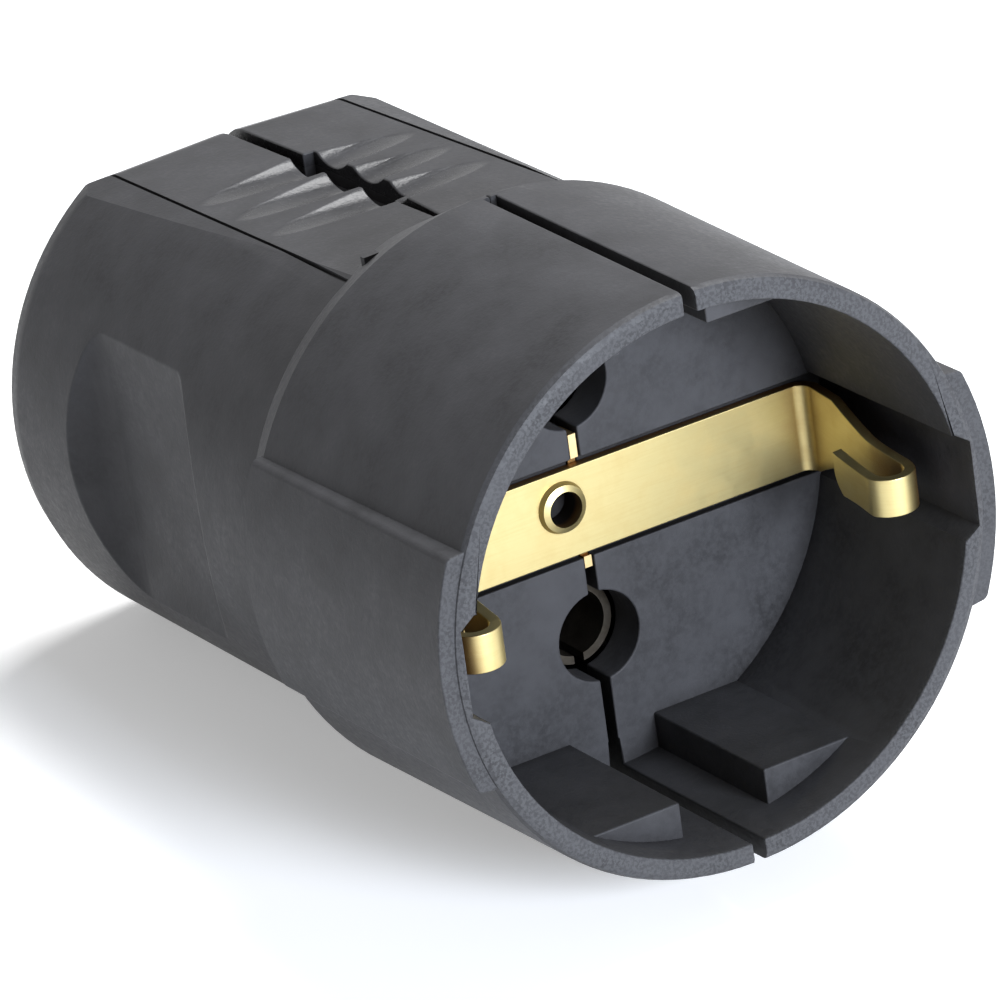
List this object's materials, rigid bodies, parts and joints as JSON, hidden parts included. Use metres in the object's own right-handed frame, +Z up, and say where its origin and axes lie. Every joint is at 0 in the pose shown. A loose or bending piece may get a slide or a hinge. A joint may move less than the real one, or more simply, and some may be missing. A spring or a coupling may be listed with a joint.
{
  "type": "in-line earthed mains socket",
  "caption": "Round two-half in-line mains socket with a deep well, pin holes, side earth clips and a ribbed grip, lying on a table.",
  "frame": {"origin": "centre of the round mouth, in the plane of the rim", "axes": "+Z up, mouth towards -Y, +X to the right seen from the mouth; the axis falls to the rear by 6.9 degrees, as the socket lies"},
  "size_m": [0.045, 0.0685, 0.0454],
  "materials": {
    "shell": "fine grain",
    "brass": "bright rolled",
    "contact": "satin",
    "steel": "zinc plated",
    "clamp": "plain"
  },
  "bodies": {
    "root": {"left_shell": "shell", "right_shell": "shell", "earth_strap": "brass", "earth_rivet": "brass", "earth_terminal": "contact", "upper_contact": "contact", "lower_contact": "contact", "upper_contact_spring": "steel", "lower_contact_spring": "steel", "terminal_screws": "steel", "housing_screws": "steel", "cord_clamp": "clamp", "clamp_screws": "steel"}
  },
  "joints": []
}
